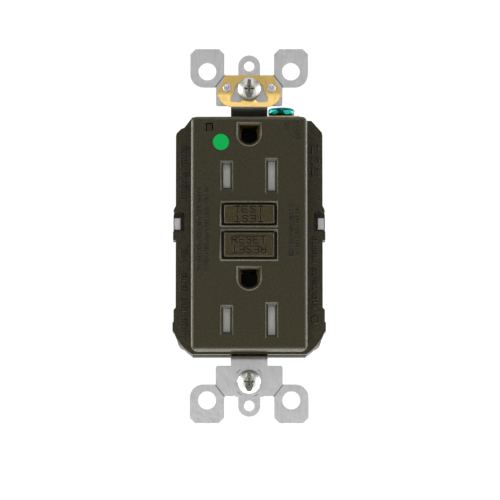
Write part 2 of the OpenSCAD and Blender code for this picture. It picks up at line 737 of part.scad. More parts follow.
module button_body(h, lip_up, lip_down) {
    lip_y = [face_in_y + 0.1, face_in_y + 1];
    soft_block(button_w, h, 0.5, 0.45, button_y, lip_y[1]);
    block([-button_w / 2 - 0.9, lip_y[0], -h / 2 - lip_down],
        [button_w / 2 + 0.9, lip_y[1], h / 2 + lip_up]);
}

module test_button()
    color(button_brown) {
        translate([0, 0, test_z]) button_body(test_h, 0.65, 0.65);
        block([test_stem[0] - 0.7, face_in_y + 0.9, test_stem[1] - 0.7],
            [test_stem[0] + 0.7, 6, test_stem[1] + 0.7]);
    }

module test_spring()
    color(zinc)
        tube_y(1.15, 0.75, face_in_y + 1.03, -0.1, spring_post[0], spring_post[1]);

// The bronze strip that the test button's stem pushes against the circuit
module test_contact_arm()
    color(copper) {
        block([4.6, 7.65, test_stem[1] - 0.8], [7.3, 8.0, test_stem[1] + 0.8]);
        block([4.6, 7.65, test_stem[1] + 0.8], [5.6, 8.0, 10.9]);
        block([4.6, 7.65, 10], [5.6, 8.57, 10.9]);
    }

module reset_button()
    color(button_brown) translate([0, 0, reset_z]) difference() {
        button_body(reset_h, 0.35, 0.45);
        rod_y(1.22, face_in_y - 0.6, face_in_y + 2);
    }

module reset_pin()
    color(zinc) difference() {
        union() {
            rod_y(1.2, face_in_y - 0.55, 16.6, 0, reset_z);
            translate([0, 16.5, reset_z]) rotate([-90, 0, 0]) cylinder(r1 = 1.2, r2 = 0.5, h = 0.9);
        }
        tube_y(1.6, 0.85, 15, 15.8, 0, reset_z);
    }

module reset_spring()
    color(zinc) tube_y(2.1, 1.5, face_in_y + 1.03, 1.2, 0, reset_z);

// ---- trip mechanism -----------------------------------------------------

module latch_block()
    color([0.85, 0.84, 0.8]) difference() {
        union() {
            block([-4.5, 12, -7.2], [4.5, 16.5, 0.8]);
            block([-arm_x - 1.2, 14.1, contact_z - 1.5], [arm_x + 1.2, 15.6, contact_z + 1.5]);
        }
        rod_y(1.35, 11, 18, 0, reset_z);
        block([-2.9, 13.5, -9], [2.9, 14.35, 0.2]);
    }

module latch_plate()
    color(steel) difference() {
        union() {
            block([-2.5, 13.6, -9.3], [2.5, 14.2, -1.2]);
            block([-2.5, 13.6, -9.3], [2.5, 16.8, -8.7]);
        }
        block([-1.4, 13, reset_z - 2.75], [1.4, 15, reset_z + 1.35]);
    }

// A movable contact arm at rest, open
module contact_arm(side) {
    y = [arm_hinge[0] - 0.25, arm_hinge[0] + 0.25];
    color(copper) translate([side * arm_x, 0, 0]) {
        rod_x(0.45, -0.8, 0.8, arm_hinge[0], arm_hinge[1]);
        block([-0.8, y[0], contact_z - 1.4], [0.8, y[1], arm_hinge[1]]);
        rod_y(1.1, y[0] - 0.7, y[0] + 0.1, 0, contact_z);
        block([-1.1, y[0], contact_z - 1.4], [1.1, y[1], contact_z + 1.4]);
    }
}

module hot_contact_arm() contact_arm(-1);

module neutral_contact_arm() contact_arm(1);

module solenoid_bobbin()
    color([0.8, 0.78, 0.7]) difference() {
        union() {
            rod_z(2.7, coil_z[0], coil_z[1], 0, coil_y);
            rod_z(4.6, coil_z[0], coil_z[0] + 1, 0, coil_y);
            rod_z(4.6, coil_z[1] - 1, coil_z[1], 0, coil_y);
        }
        rod_z(1.85, coil_z[0] - 1, coil_z[1] + 1, 0, coil_y);
    }

module solenoid_coil()
    color(copper) tube_z(4.3, 2.75, coil_z[0] + 1.05, coil_z[1] - 1.05, 0, coil_y);

module solenoid_frame()
    color(steel) difference() {
        union() {
            block([-5.2, 11, coil_z[1] + 0.05], [6, 20.4, coil_z[1] + 0.95]);
            block([-5.2, 11, coil_z[0] - 0.95], [6, 20.4, coil_z[0] - 0.05]);
            block([5.1, 11, coil_z[0] - 0.95], [6, 20.4, coil_z[1] + 0.95]);
        }
        rod_z(1.95, coil_z[0] - 2, coil_z[1] + 2, 0, coil_y);
    }

module solenoid_plunger()
    color(steel) {
        rod_z(1.7, -28.4, -9.5, 0, coil_y);
        rod_z(2.6, -28.9, -28.3, 0, coil_y);
    }

module plunger_spring()
    color(zinc) tube_z(2.4, 1.8, -28.25, -26, 0, coil_y);

module core_housing()
    color([0.8, 0.78, 0.7]) difference() {
        rod_y(8.3, 11.3, 19.9, 0, core_z);
        difference() {
            rod_y(7.6, 12, 21, 0, core_z);
            rod_y(3.6, 11, 22, 0, core_z);
        }
        rod_y(3.0, 10, 22, 0, core_z);
    }

module core(y0)
    tube_y(7.4, 3.8, y0, y0 + 3.3, 0, core_z);

module sensing_core() color(copper) core(12.2);

module neutral_core() color(copper) core(16);

// ---- electronics --------------------------------------------------------

module circuit_board()
    color([0.1, 0.35, 0.2]) difference() {
        plate(board_y[0], board_y[1]) {
            square([24.6, 57], center = true);
            square([36, 22.4], center = true);
        }
        for (x = [-1.8, 1.8], z = [3, 5]) rod_y(0.5, 20, 24, x, z);
        rod_y(1.5, 20, 24, 0, reset_z);
    }

module varistor()
    color([0.1, 0.3, 0.7]) {
        rod_x(4.2, 8, 11.4, 16.2, -17.6);
        for (s = [-1, 1])
            rod_y(0.35, 19, board_y[0], 9.7, -17.6 + s * 2.4);
    }

module control_chip()
    color(black) {
        block([-16.6, 18.4, -8.6], [-11.4, 20.9, 0.6]);
        for (x = [-17.2, -11.3], i = [0 : 3])
            block([x, 19.4, -7.6 + i * 2.2], [x + 0.6, board_y[0], -6.9 + i * 2.2]);
    }

module capacitors()
    color([0.16, 0.18, 0.3]) {
        rod_y(2.6, 12.5, 21.15, -9, -17.2);
        rod_y(2, 14.8, 21.15, 14.8, -6.4);
        block([-11.8, 16.6, -27.6], [-6.6, 21.15, -24.6]);
    }

module resistors() {
    lead = 0.2;
    color([0.75, 0.68, 0.5]) for (z = [0.4, 3.2, 6, 8.8]) {
        rod_x(0.75, 12.2, 15.8, 20, z);
        for (x = [12.1, 15]) rod_x(0.9, x, x + 0.9, 20, z);
        for (x = [11.4, 16.6]) {
            block([x - lead, 20 - lead, z - lead], [x + lead, board_y[0], z + lead]);
            block([min(x, 14) - lead, 20 - lead, z - lead], [max(x, 14), 20 + lead, z + lead]);
        }
    }
}

// ---- fasteners ----------------------------------------------------------

module assembly_screws()
    color(zinc) both_sides() both_ends() difference() {
        union() {
            rod_y(1.2, 2.4, rear_y - 2, boss_pos[0], boss_pos[1]);
            rod_y(2.25, rear_y - 2.5, rear_y - 0.9, boss_pos[0], boss_pos[1]);
        }
        cross_recess(boss_pos, 0.5, 1.3, rear_y - 1.8, rear_y);
    }

// A cross recess around an axis along Y
module cross_recess(pos, half_w, half_l, y0, y1) {
    block([pos[0] - half_w / 2, y0, pos[1] - half_l], [pos[0] + half_w / 2, y1, pos[1] + half_l]);
    block([pos[0] - half_l, y0, pos[1] - half_w / 2], [pos[0] + half_l, y1, pos[1] + half_w / 2]);
}

// A captive box screw: domed head with a slot and a cross recess, a plain neck that
// the washer hangs on, and the threaded length that goes into the box
module box_screw(z, seat_y) {
    head_h = 2.3;
    dome_r = 5.2;
    neck_r = box_screw_r - 0.2;
    tip = 0.8;
    front_y = seat_y - head_h;
    color(zinc) translate([0, 0, z]) difference() {
        union() {
            rod_y(neck_r, seat_y - 0.5, thread_y + 0.5);
            rod_y(box_screw_r, thread_y, box_screw_l - tip);
            translate([0, box_screw_l - tip, 0]) rotate([-90, 0, 0])
                cylinder(r1 = box_screw_r, r2 = box_screw_r - 0.7, h = tip);
            intersection() {
                rod_y(box_head_r, front_y, seat_y);
                translate([0, front_y + dome_r, 0]) sphere(dome_r);
            }
        }
        block([-0.55, front_y - 1, -4], [0.55, front_y + 0.95, 4]);
        cross_recess([0, 0], 1.0, 1.9, front_y - 1, front_y + 1.6);
    }
}

module mounting_screw_top() box_screw(box_pitch / 2, screw_rest_y - 0.03);

module mounting_screw_bottom() box_screw(-box_pitch / 2, -strap_t - 0.03);

// The square fibre washer that keeps a box screw in the strap
module screw_washer(z)
    color([0.45, 0.36, 0.26]) translate([0, 0, z]) difference() {
        plate(3, 3.8) square([8, 8], center = true);
        rod_y(box_screw_r - 0.15, 2, 5);
    }

module screw_washer_top() screw_washer(box_pitch / 2);

module screw_washer_bottom() screw_washer(-box_pitch / 2);

// A terminal screw, on the side +X
module terminal_screw(z)
    difference() {
        union() {
            rod_x(term_r, pocket_x - 1.6, 17.5, term_y, z);
            rod_x(term_head_r, 17.3, 19.4, term_y, z);
        }
        block([18.5, term_y - 4, z - 0.45], [20, term_y + 4, z + 0.45]);
        block([18.3, term_y - 0.55, z - 1.9], [20, term_y + 0.55, z + 1.9]);
    }

module line_hot_screw() color(brass) mirror([1, 0, 0]) terminal_screw(term_z);

module line_neutral_screw() color(zinc) terminal_screw(term_z);

module load_hot_screw() color(brass) mirror([1, 0, 0]) terminal_screw(-term_z);

module load_neutral_screw() color(zinc) terminal_screw(-term_z);

// The pressure plate that the screw draws onto the wires, on the side +X
module terminal_clamp(z)
    difference() {
        union() {
            block([16.2, 10.6, z - 4.4], [17.2, 17.4, z + 4.4]);
            for (s = [-1, 1])
                block([15.8, 10.6, z + s * 4.1 - 0.3], [16.3, 17.4, z + s * 4.1 + 0.3]);
        }
        rod_x(term_r + gap, 15, 19, term_y, z);
    }

module line_hot_clamp() color(zinc) mirror([1, 0, 0]) terminal_clamp(term_z);

module line_neutral_clamp() color(zinc) terminal_clamp(term_z);

module load_hot_clamp() color(zinc) mirror([1, 0, 0]) terminal_clamp(-term_z);

module load_neutral_clamp() color(zinc) terminal_clamp(-term_z);

// ---- one line per node ---------------------------------------------------

front_cover();
rear_cover();
middle_frame();
mounting_strap();
ground_clip();
rivets();
ground_contact_upper();
ground_contact_lower();
button_guide();
ground_terminal_tab();
ground_screw();
ground_screw_washer();
grade_dot();
light_pipe();
indicator_led();
hot_contact();
neutral_contact();
line_terminals();
line_conductors();
shutter_upper();
shutter_lower();
shutter_spring_upper();
shutter_spring_lower();
shutter_retainers();
test_button();
test_spring();
test_contact_arm();
reset_button();
reset_pin();
reset_spring();
latch_block();
latch_plate();
hot_contact_arm();
neutral_contact_arm();
solenoid_bobbin();
solenoid_coil();
solenoid_frame();
solenoid_plunger();
plunger_spring();
core_housing();
sensing_core();
neutral_core();
circuit_board();
varistor();
control_chip();
capacitors();
resistors();
assembly_screws();
mounting_screw_top();
mounting_screw_bottom();
screw_washer_top();
screw_washer_bottom();
line_hot_screw();
line_neutral_screw();
load_hot_screw();
load_neutral_screw();
line_hot_clamp();
line_neutral_clamp();
load_hot_clamp();
load_neutral_clamp();
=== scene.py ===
"""Ground-fault duplex outlet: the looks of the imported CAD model.

The CAD nodes that already have the right shape keep it and get softened edges and a
procedural material. Screws, springs and windings are rebuilt with threads and wire.
"""
import json
import math

import bmesh
import bpy
from mathutils import Matrix, Vector


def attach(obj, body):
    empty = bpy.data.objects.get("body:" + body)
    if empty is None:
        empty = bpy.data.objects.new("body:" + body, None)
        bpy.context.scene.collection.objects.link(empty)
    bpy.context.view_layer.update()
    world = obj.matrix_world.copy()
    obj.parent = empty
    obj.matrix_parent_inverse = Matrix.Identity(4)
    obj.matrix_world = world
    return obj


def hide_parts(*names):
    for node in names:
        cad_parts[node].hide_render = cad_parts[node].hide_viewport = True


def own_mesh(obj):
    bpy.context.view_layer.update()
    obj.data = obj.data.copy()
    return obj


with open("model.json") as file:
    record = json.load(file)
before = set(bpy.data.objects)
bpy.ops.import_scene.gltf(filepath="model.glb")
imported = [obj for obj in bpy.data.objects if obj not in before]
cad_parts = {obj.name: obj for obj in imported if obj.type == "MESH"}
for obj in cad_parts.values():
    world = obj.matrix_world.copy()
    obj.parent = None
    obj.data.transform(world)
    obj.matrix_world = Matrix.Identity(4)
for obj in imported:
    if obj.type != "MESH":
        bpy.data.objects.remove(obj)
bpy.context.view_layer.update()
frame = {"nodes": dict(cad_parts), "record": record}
MM = 0.001

# The front planes and the main heights of the outlet, in mm as in the CAD source
FACE_Y, FLANGE_Y, BUTTON_Y, STRAP_Y = -7.6, -0.6, -8.2, -1.2
BOX_SCREW_Z = 41.66
SLOT_ROWS_Z = (16.3, -24.6)
GROUND_HOLES_Z = (28.2, -12.7)
SLOT_X, HOT_H, NEUTRAL_H = 6.33, 6.7, 8.3
LETTER_SINK = 0.12  # how far the buttons are sunk, so that raised letters end level

# ---- camera, light and floor --------------------------------------------------


def aim(obj, target):
    """Turns a camera or a light at target so that its local -Z looks there."""
    way = Vector(target) - obj.location
    obj.rotation_euler = way.to_track_quat("-Z", "Y").to_euler()


def make_camera():
    """A long lens a little below the outlet, looking slightly up at it."""
    lens, sensor = 250.0, 36.0
    width_seen = 142 * MM
    rise = math.radians(-5.5)
    target = Vector((0.23, 0, -4.1)) * MM
    distance = width_seen * lens / sensor
    data = bpy.data.cameras.new("camera")
    data.lens, data.sensor_width = lens, sensor
    data.clip_start, data.clip_end = 0.05, 20
    camera = bpy.data.objects.new("camera", data)
    bpy.context.scene.collection.objects.link(camera)
    camera.location = target + distance * Vector((0, -math.cos(rise), math.sin(rise)))
    aim(camera, target)
    bpy.context.scene.camera = camera


def area_light(name, place, size, power, target):
    data = bpy.data.lights.new(name, "AREA")
    data.shape = "RECTANGLE"
    data.size, data.size_y = size
    data.energy = power
    light = bpy.data.objects.new(name, data)
    bpy.context.scene.collection.objects.link(light)
    light.location = place
    aim(light, target)


# name: place, width and height, watts, and the point that it's aimed at
LIGHTS = {
    "left_softbox": ((-0.80, -0.50, 0.08), (0.60, 0.55), 4.6, (0, 0, 0)),
    "right_softbox": ((0.80, -0.50, 0.08), (0.60, 0.55), 4.2, (0, 0, 0)),
    "left_strip": ((-0.90, 0.02, 0.20), (0.30, 0.36), 8.0, (0, 0, 0)),
    "right_strip": ((0.90, 0.02, 0.20), (0.30, 0.36), 6.5, (0, 0, 0)),
    "left_rim": ((-0.84, 0.36, 0.05), (0.30, 0.60), 5.0, (0, 0, 0)),
    "right_rim": ((0.84, 0.36, 0.05), (0.30, 0.60), 4.0, (0, 0, 0)),
    "top_softbox": ((0.0, -0.60, 0.65), (0.80, 0.40), 3.0, (0, 0, 0)),
    "overhead": ((0.0, -0.06, 0.80), (0.90, 0.50), 2.4, (0, 0, 0)),
    "low_softbox": ((0.0, 0.0, -0.15), (0.40, 0.12), 1.25, (0, 0.0, 0.1)),
    "rear_softbox": ((0.3, 0.90, 0.50), (0.90, 0.90), 5.0, (0, 0, 0)),
}


def make_lights():
    """Softboxes and strips at both sides, and soft light from above, below and behind."""
    for name, (place, size, watts, target) in LIGHTS.items():
        area_light(name, place, size, watts, target)


FILL = 0.40


def make_world():
    """White where the camera looks past the outlet, soft grey light everywhere else."""
    world = bpy.data.worlds.new("studio")
    bpy.context.scene.world = world
    world.use_nodes = True
    nodes, links = world.node_tree.nodes, world.node_tree.links
    nodes.clear()
    out = nodes.new("ShaderNodeOutputWorld")
    mix = nodes.new("ShaderNodeMixShader")
    seen = nodes.new("ShaderNodeBackground")
    seen.inputs["Color"].default_value = (1, 1, 1, 1)
    seen.inputs["Strength"].default_value = 1.05
    fill = nodes.new("ShaderNodeBackground")
    fill.inputs["Color"].default_value = (1, 1, 1, 1)
    fill.inputs["Strength"].default_value = FILL
    path = nodes.new("ShaderNodeLightPath")
    links.new(path.outputs["Is Camera Ray"], mix.inputs["Fac"])
    links.new(fill.outputs[0], mix.inputs[1])
    links.new(seen.outputs[0], mix.inputs[2])
    links.new(mix.outputs[0], out.inputs["Surface"])
    bpy.context.scene.view_settings.view_transform = "Standard"


def make_floor():
    size, level = 1.6, -0.16
    mesh = bpy.data.meshes.new("floor")
    mesh.from_pydata([(x * size, y * size, level) for x, y in
                      ((-1, -1), (1, -1), (1, 1), (-1, 1))], [], [(0, 1, 2, 3)])
    floor = bpy.data.objects.new("floor", mesh)
    bpy.context.scene.collection.objects.link(floor)
    paint = Paint("pale_floor", (0.86, 0.86, 0.85), 0.55)
    paint.bump(paint.noise(0.004, 2), 0.0002)
    mesh.materials.append(paint.mat)


# ---- materials ----------------------------------------------------------------


class Paint:
    """One procedural material, built on a Principled shader with noise in object space."""

    def __init__(self, name, colour, rough, metallic=0.0):
        self.mat = bpy.data.materials.new(name)
        self.mat.use_nodes = True
        self.nodes = self.mat.node_tree.nodes
        self.links = self.mat.node_tree.links
        self.shader = self.nodes["Principled BSDF"]
        self.colour = colour
        self.normal = None
        self.slant = 0
        self.shader.inputs["Base Color"].default_value = (*colour, 1)
        self.shader.inputs["Roughness"].default_value = rough
        self.shader.inputs["Metallic"].default_value = metallic
        self.where = self.nodes.new("ShaderNodeTexCoord").outputs["Object"]

    def stretched(self, factors):
        mapping = self.nodes.new("ShaderNodeMapping")
        mapping.inputs["Scale"].default_value = factors
        mapping.inputs["Rotation"].default_value = (0, self.slant, 0)
        self.links.new(self.where, mapping.inputs["Vector"])
        return mapping.outputs["Vector"]

    def noise(self, feature, detail=3.0, stretch=None):
        """A noise whose features are about this many metres across."""
        node = self.nodes.new("ShaderNodeTexNoise")
        node.inputs["Scale"].default_value = 1 / feature
        node.inputs["Detail"].default_value = detail
        where = self.stretched(stretch) if stretch else self.where
        self.links.new(where, node.inputs["Vector"])
        return node.outputs["Fac"]

    def spread(self, value, low, high):
        """Maps a noise's middle range onto low to high."""
        node = self.nodes.new("ShaderNodeMapRange")
        for key, number in (("From Min", 0.3), ("From Max", 0.7), ("To Min", low),
                            ("To Max", high)):
            node.inputs[key].default_value = number
        self.links.new(value, node.inputs["Value"])
        return node.outputs["Result"]

    def tint(self, value, dark, light):
        """Colour runs from dark to light times the base colour as value goes 0 to 1."""
        ramp = self.nodes.new("ShaderNodeValToRGB")
        ends = ramp.color_ramp.elements
        ends[0].position, ends[1].position = 0.3, 0.7
        ends[0].color = (*(min(1, c * dark) for c in self.colour), 1)
        ends[1].color = (*(min(1, c * light) for c in self.colour), 1)
        self.links.new(value, ramp.inputs["Fac"])
        self.links.new(ramp.outputs["Color"], self.shader.inputs["Base Color"])

    def rough(self, value, low, high):
        self.links.new(self.spread(value, low, high), self.shader.inputs["Roughness"])

    def bump(self, value, depth, strength=1.0):
        node = self.nodes.new("ShaderNodeBump")
        node.inputs["Distance"].default_value = depth
        node.inputs["Strength"].default_value = strength
        self.links.new(value, node.inputs["Height"])
        if self.normal:
            self.links.new(self.normal, node.inputs["Normal"])
        self.normal = node.outputs["Normal"]
        self.links.new(self.normal, self.shader.inputs["Normal"])

    def set(self, **sockets):
        for key, number in sockets.items():
            self.shader.inputs[key.replace("_", " ")].default_value = number


def moulded(name, colour, rough, grain=0.12, mottle=0.1, shine=0.5, speckle=0):
    """Moulded plastic: a fine grain, a mottle (or a finer speckle) and uneven gloss."""
    paint = Paint(name, colour, rough)
    paint.set(Specular_IOR_Level=shine)
    if speckle:
        paint.tint(paint.noise(0.4 * MM, 4), 1 - speckle, 1 + speckle)
    else:
        paint.tint(paint.noise(2.5 * MM, 4), 1 - mottle, 1 + mottle)
    paint.rough(paint.noise(0.7 * MM, 3), rough - 0.07, rough + 0.07)
    paint.bump(paint.noise(grain * MM, 3), 0.006 * MM, 0.5)
    paint.bump(paint.noise(1.6 * MM, 2), 0.012 * MM, 0.25)
    return paint.mat


def stamped(name, colour, rough, along=(1, 1, 1), grain=0.25, mottle=0.05, slant=0):
    """Stamped or plated sheet metal: rolling marks at a slant, faint spangle, uneven gloss."""
    paint = Paint(name, colour, rough, 1.0)
    paint.slant = math.radians(slant)
    paint.tint(paint.noise(0.5 * MM, 3, along), 1 - mottle, 1 + mottle)
    paint.rough(paint.noise(0.9 * MM, 3), rough - 0.03, rough + 0.04)
    paint.bump(paint.noise(grain * MM, 2, along), 0.0007 * MM, 0.4)
    return paint.mat


def wire(name, colour, rough):
    """Drawn or enamelled wire: fine draw marks and a slight change of colour."""
    paint = Paint(name, colour, rough, 1.0)
    paint.tint(paint.noise(1.2 * MM, 3), 0.85, 1.12)
    paint.rough(paint.noise(0.4 * MM, 3), rough - 0.06, rough + 0.08)
    paint.bump(paint.noise(0.08 * MM, 2), 0.003 * MM, 0.4)
    return paint.mat


def make_materials():
    return {
        "brown_cover": moulded("brown_cover", (0.0155, 0.0135, 0.0043), 0.40, shine=0.28,
                               speckle=0.6),
        # painted highlight: a lighter, glossier brown for the lips round the openings
        "painted_highlight_rim": moulded("painted_highlight_rim", (0.040, 0.037, 0.020), 0.30, shine=0.6),
        "brown_button": moulded("brown_button", (0.0225, 0.0175, 0.0052), 0.40, shine=0.22,
                                speckle=0.5),
        "brown_lens": moulded("brown_lens", (0.016, 0.014, 0.008), 0.3, 0.3, 0.05, shine=0.15),
        "black_cover": moulded("black_cover", (0.016, 0.0155, 0.013), 0.44, shine=0.25),
        "pale_frame": moulded("pale_frame", (0.62, 0.58, 0.47), 0.5, 0.2),
        "shutter_grey": moulded("shutter_grey", (0.37, 0.38, 0.355), 0.42, 0.25, 0.06),
        "green_dot": moulded("green_dot", (0.0, 0.225, 0.043), 0.5, 0.3, 0.03, shine=0.1),
        "led_epoxy": moulded("led_epoxy", (0.55, 0.62, 0.55), 0.15, 0.4, 0.03),
        "fibre": moulded("fibre", (0.16, 0.10, 0.05), 0.75, 0.15, 0.25),
        "board_green": moulded("board_green", (0.02, 0.14, 0.05), 0.3, 0.4, 0.12),
        "varistor_blue": moulded("varistor_blue", (0.02, 0.09, 0.42), 0.25, 0.5, 0.08),
        "chip_black": moulded("chip_black", (0.02, 0.02, 0.02), 0.5, 0.1, 0.1),
        "capacitor_sleeve": moulded("capacitor_sleeve", (0.03, 0.04, 0.10), 0.3, 0.4, 0.06),
        "resistor_tan": moulded("resistor_tan", (0.55, 0.42, 0.24), 0.4, 0.3, 0.08),
        "strap_steel": stamped("strap_steel", (0.64, 0.64, 0.645), 0.35, (1, 1, 0.22), 0.3, 0.05,
                               slant=40),
        "rivet_steel": stamped("rivet_steel", (0.36, 0.37, 0.40), 0.45),
        "zinc_steel": stamped("zinc_steel", (0.60, 0.60, 0.61), 0.35),
        "zinc_screw": stamped("zinc_screw", (0.36, 0.36, 0.35), 0.40, mottle=0.03),
        "clip_brass": stamped("clip_brass", (0.92, 0.64, 0.22), 0.3, (1, 1, 0.3), 0.2, 0.03),
        # brass darkened well below its own colour: painted shade for the contacts deep inside the
        # slots and ground holes
        "contact_brass": stamped("contact_brass", (0.30, 0.17, 0.035), 0.4, (1, 1, 0.15)),
        "screw_brass": stamped("screw_brass", (0.76, 0.54, 0.20), 0.25),
        "contact_tin": stamped("contact_tin", (0.66, 0.66, 0.67), 0.32, (1, 1, 0.15)),
        "copper": stamped("copper", (0.72, 0.36, 0.20), 0.3, (1, 0.15, 1)),
        "green_screw": stamped("green_screw", (0.005, 0.11, 0.095), 0.17, mottle=0.2),
        # painted shade: darker zinc for the faces inside a screw head's cross recess and slot
        "painted_recess_shade": stamped("painted_recess_shade", (0.24, 0.24, 0.20), 0.3, mottle=0.3),
        # painted shade: near black for the strokes of the moulded letters and marks
        "painted_letter_shade": moulded("painted_letter_shade", (0.006, 0.005, 0.003), 0.7, shine=0.05),
        # painted shade: dark steel for the score lines and stamped arcs on the strap
        "painted_score_shade": stamped("painted_score_shade", (0.10, 0.10, 0.11), 0.5),
        "copper_wire": wire("copper_wire", (0.52, 0.22, 0.09), 0.3),
        "spring_steel": wire("spring_steel", (0.48, 0.48, 0.50), 0.28),
    }


# ---- CAD nodes that keep their shape ------------------------------------------


def dress_nodes(materials):
    """Gives every CAD node its slot's material and softens its edges a little."""
    slots = {s["node"]: s["material_slot"] for s in frame["record"]["subparts"]}
    for name, node in frame["nodes"].items():
        node.data.materials.clear()
        node.data.materials.append(materials[slots[name]])
        soften(node, EDGE.get(name, 0.06 * MM))


EDGE = {
    "front_cover": 0.12 * MM,
    "rear_cover": 0.2 * MM,
    "mounting_strap": 0.07 * MM,
    "ground_clip": 0.12 * MM,
}


def soften(obj, width, segments=2):
    bevel = obj.modifiers.new("soft_edges", "BEVEL")
    bevel.width = width
    bevel.segments = segments
    bevel.limit_method = "ANGLE"
    bevel.angle_limit = math.radians(28)
    bevel.harden_normals = False
    smooth = obj.modifiers.new("even_normals", "WEIGHTED_NORMAL")
    smooth.keep_sharp = True


# ---- mesh makers ---------------------------------------------------------------

UP_X = Matrix.Rotation(math.radians(90), 4, "Y")
UP_MINUS_X = Matrix.Rotation(math.radians(-90), 4, "Y")
UP_MINUS_Y = Matrix.Rotation(math.radians(90), 4, "X")
UP_Z = Matrix.Identity(4)


def at(x, y, z, turn=UP_Z):
    """A placement for a part made around local Z: its axis turned, its origin at x, y, z mm."""
    return Matrix.Translation(Vector((x, y, z)) * MM) @ turn


def mesh_of(name, bm, crease=32):
    """A mesh from bm, smooth except where its faces meet at more than crease degrees."""
    bmesh.ops.recalc_face_normals(bm, faces=bm.faces)
    mesh = bpy.data.meshes.new(name)
    bm.to_mesh(mesh)
    bm.free()
    mesh.shade_smooth()
    mesh.set_sharp_from_angle(angle=math.radians(crease))
    return mesh


def joined(name, *meshes, crease=32):
    bm = bmesh.new()
    for mesh in meshes:
        bm.from_mesh(mesh)
    return mesh_of(name, bm, crease)


def placed(mesh, place):
    mesh.transform(place)
    return mesh


def saw(turn):
    """0 at a thread's root, 1 at its crest, with both slightly flattened."""
    wave = abs(2 * (turn % 1) - 1)
    return min(1, max(0, 1.3 * wave - 0.15))


def turned(profile, segments=48, thread=None, relief=None, ring=False, crease=32):
    """Revolves (radius, height) points in mm round local Z.

    thread is (start, end, pitch, depth): a helical groove cut below the profile's radius.
    relief(radius, angle, height) lowers a point. ring joins the last point to the first.
    """
    stops = [profile[0]]
    for (r0, z0), (r1, z1) in zip(profile, profile[1:]):
        steps = 1
        if thread and max(z0, z1) > thread[0] and min(z0, z1) < thread[1]:
            steps = max(1, math.ceil(abs(z1 - z0) / (thread[2] / 8)))
        stops += [(r0 + (r1 - r0) * i / steps, z0 + (z1 - z0) * i / steps)
                  for i in range(1, steps + 1)]
    bm = bmesh.new()
    rows = []
    for r, z in stops:
        if r < 1e-6:
            drop = relief(0, 0, z) if relief else 0
            rows.append([bm.verts.new((0, 0, (z - drop) * MM))])
            continue
        row = []
        for k in range(segments):
            angle = math.tau * k / segments
            radius, height = r, z
            if thread and thread[0] < z < thread[1]:
                start, end, pitch, depth = thread
                fade = min(1, (z - start) / pitch, (end - z) / pitch)
                radius -= depth * fade * (1 - saw(z / pitch - k / segments))
            if relief:
                height -= relief(r, angle, z)
            row.append(bm.verts.new((radius * math.cos(angle) * MM,
                                     radius * math.sin(angle) * MM, height * MM)))
        rows.append(row)
    pairs = list(zip(rows, rows[1:]))
    if ring:
        pairs.append((rows[-1], rows[0]))
    for a, b in pairs:
        for k in range(segments):
            n = (k + 1) % segments
            if len(a) == 1:
                bm.faces.new((a[0], b[k], b[n]))
            elif len(b) == 1:
                bm.faces.new((a[k], b[0], a[n]))
            else:
                bm.faces.new((a[k], b[k], b[n], a[n]))
    return mesh_of("turned", bm, crease)


def tube(points, radius, sides=8, closed=False, crease=60):
    """A round wire along points in mm."""
    path = [Vector(p) for p in points]
    count = len(path)
    bm = bmesh.new()
    rows, side = [], None
    for i, point in enumerate(path):
        after = path[(i + 1) % count] if closed else path[min(i + 1, count - 1)]
        before = path[i - 1] if closed or i else path[0]
        along = (after - before).normalized()
        if side is None:
            side = along.orthogonal().normalized()
        side = (side - side.dot(along) * along).normalized()
        up = along.cross(side)
        rows.append([bm.verts.new((point + radius * (math.cos(t) * side + math.sin(t) * up)) * MM)
                     for t in (math.tau * k / sides for k in range(sides))])
    pairs = list(zip(rows, rows[1:]))
    if closed:
        pairs.append((rows[-1], rows[0]))
    for a, b in pairs:
        for k in range(sides):
            n = (k + 1) % sides
            bm.faces.new((a[k], a[n], b[n], b[k]))
    if not closed:
        bm.faces.new(rows[0])
        bm.faces.new(rows[-1])
    return mesh_of("tube", bm, crease)


def spring_mesh(mean_r, wire_r, length, turns, per_turn=24):
    """A compression spring along local Z from 0 to length, with a flat turn at each end."""
    flat = 2 * wire_r
    free = (length - 2 * wire_r - 2 * flat) / max(turns - 2, 1)
    points = []
    for i in range(int(turns * per_turn) + 1):
        t = i / per_turn
        height = flat * min(t, 1) + free * min(max(t - 1, 0), turns - 2)
        height += flat * max(t - turns + 1, 0)
        points.append((mean_r * math.cos(math.tau * t), mean_r * math.sin(math.tau * t),
                       height + wire_r))
    return tube(points, wire_r, 8)


def slab(outline, z0, z1, shrink=1.0):
    """A prism over an outline in mm; its far end is the outline times shrink."""
    bm = bmesh.new()
    low = [bm.verts.new((x * MM, y * MM, z0 * MM)) for x, y in outline]
    high = [bm.verts.new((x * shrink * MM, y * shrink * MM, z1 * MM)) for x, y in outline]
    bm.faces.new(low)
    bm.faces.new(high)
    for k in range(len(outline)):
        n = (k + 1) % len(outline)
        bm.faces.new((low[k], low[n], high[n], high[k]))
    return mesh_of("slab", bm)


def bar_outline(half_x, half_y):
    return [(-half_x, -half_y), (half_x, -half_y), (half_x, half_y), (-half_x, half_y)]


def cross_outline(half_w, half_l):
    w, l = half_w, half_l
    return [(w, -l), (w, -w), (l, -w), (l, w), (w, w), (w, l),
            (-w, l), (-w, w), (-l, w), (-l, -w), (-w, -w), (-w, -l)]


